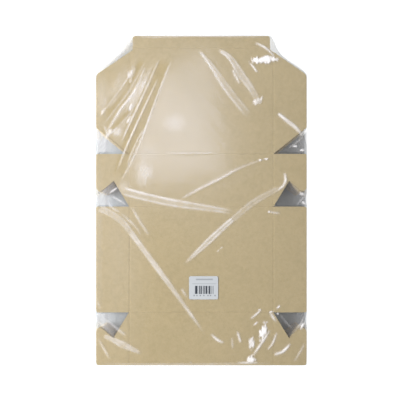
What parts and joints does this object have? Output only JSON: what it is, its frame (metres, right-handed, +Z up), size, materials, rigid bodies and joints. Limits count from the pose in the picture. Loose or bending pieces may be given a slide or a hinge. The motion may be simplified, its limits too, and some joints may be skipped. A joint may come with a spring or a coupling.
{
  "type": "shrink-wrapped pack of flat kraft box blanks",
  "caption": "Flat-packed kraft boxes: a stack of die-cut, creased corrugated board blanks shrink-wrapped in clear film with a small label on top.",
  "frame": {"origin": "middle of the pack's underside, where it lies on a table", "axes": "+X across the blanks, +Y along them from the front wall to the lid and tuck, +Z up through the stack"},
  "size_m": [0.3652, 0.5696, 0.042],
  "materials": {
    "kraft_board": "matte",
    "clear_film": "gloss",
    "label_paper": "satin"
  },
  "bodies": {
    "root": {"blank_01": "kraft_board", "blank_02": "kraft_board", "blank_03": "kraft_board", "blank_04": "kraft_board", "blank_05": "kraft_board", "blank_06": "kraft_board", "blank_07": "kraft_board", "blank_08": "kraft_board", "blank_09": "kraft_board", "blank_10": "kraft_board", "blank_11": "kraft_board", "blank_12": "kraft_board", "blank_13": "kraft_board", "blank_14": "kraft_board", "blank_15": "kraft_board", "blank_16": "kraft_board", "blank_17": "kraft_board", "blank_18": "kraft_board", "blank_19": "kraft_board", "blank_20": "kraft_board", "blank_21": "kraft_board", "blank_22": "kraft_board", "blank_23": "kraft_board", "blank_24": "kraft_board", "blank_25": "kraft_board", "shrink_film": "clear_film", "stock_label": "label_paper"}
  },
  "joints": []
}
